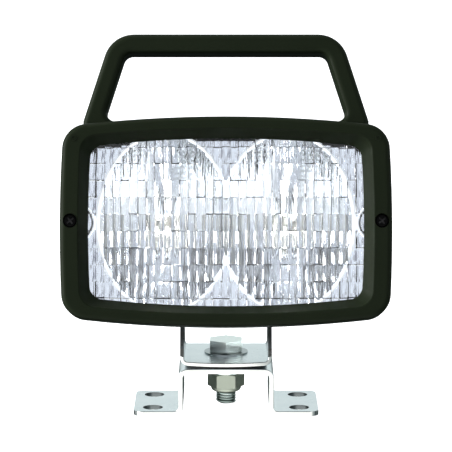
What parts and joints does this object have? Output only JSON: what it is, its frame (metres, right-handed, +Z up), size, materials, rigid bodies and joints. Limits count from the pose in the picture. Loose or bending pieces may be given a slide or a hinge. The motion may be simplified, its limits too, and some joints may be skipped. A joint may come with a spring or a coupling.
{
  "type": "rectangular work lamp",
  "caption": "Rectangular halogen work lamp with carry handle, fluted glass and black plastic body, on a plated steel bracket that swivels and tilts.",
  "frame": {"origin": "centre of the four foot holes on the mounting plane, on the swivel bolt's axis", "axes": "+Z up along the swivel bolt, -Y the side that the lamp shines towards, +X to the right seen from the front"},
  "size_m": [0.17, 0.1054, 0.1971],
  "materials": {
    "black_plastic": "fine matt grain, black with a slight green cast",
    "black_steel": "blackened",
    "lens_glass": "clear, fluted on its inner side",
    "black_rubber": "matt",
    "reflector_metal": "vacuum metallised",
    "bulb_glass": "clear",
    "bulb_metal": "plain",
    "spring_steel": "plain",
    "connector_plastic": "moulded",
    "wire_sheath": "satin",
    "zinc_plate": "bright zinc plated sheet",
    "zinc_fastener": "zinc plated",
    "black_fibre": "pressed fibre",
    "white_nylon": "natural",
    "chrome_trim": "plated"
  },
  "bodies": {
    "base": {"base_bracket": "zinc_plate", "friction_disc": "black_fibre", "swivel_bolt": "zinc_fastener", "swivel_top_washer": "black_fibre", "swivel_flat_washer": "zinc_fastener", "swivel_spring_washer": "zinc_fastener", "swivel_nut": "zinc_fastener", "swivel_nut_ring": "white_nylon"},
    "stirrup": {"stirrup": "zinc_plate", "pivot_bolt": "zinc_fastener", "pivot_washers": "zinc_fastener", "pivot_nut": "zinc_fastener", "pivot_nut_ring": "white_nylon"},
    "lamp_head": {"rear_housing": "black_plastic", "front_frame": "black_plastic", "frame_screws": "black_steel", "lens_glass": "lens_glass", "lens_gasket": "black_rubber", "reflector": "reflector_metal", "bulb_glass_left": "bulb_glass", "bulb_glass_right": "bulb_glass", "bulb_base_left": "bulb_metal", "bulb_base_right": "bulb_metal", "bulb_clip_left": "spring_steel", "bulb_clip_right": "spring_steel", "bulb_connector_left": "connector_plastic", "bulb_connector_right": "connector_plastic", "bulb_lead_left": "wire_sheath", "bulb_lead_right": "wire_sheath", "pivot_sleeve": "zinc_fastener", "pivot_fibre_washers": "black_fibre", "switch_body": "connector_plastic", "switch_nut": "chrome_trim", "cable_grommet": "black_rubber"},
    "switch_lever": {"switch_lever": "chrome_trim"}
  },
  "joints": [
    {"name": "swivel", "type": "hinge", "parent": "base", "child": "stirrup", "pos_m": [0, 0, 0.028], "axis": [0, 0, 1], "continuous": true},
    {"name": "tilt", "type": "hinge", "parent": "stirrup", "child": "lamp_head", "pos_m": [0, 0, 0.054], "axis": [1, 0, 0], "range_deg": [-60, 28]},
    {"name": "switch_throw", "type": "hinge", "parent": "lamp_head", "child": "switch_lever", "pos_m": [-0.012, 0.03883, 0.08956], "axis": [1, 0, 0], "range_deg": [0, 26]}
  ]
}
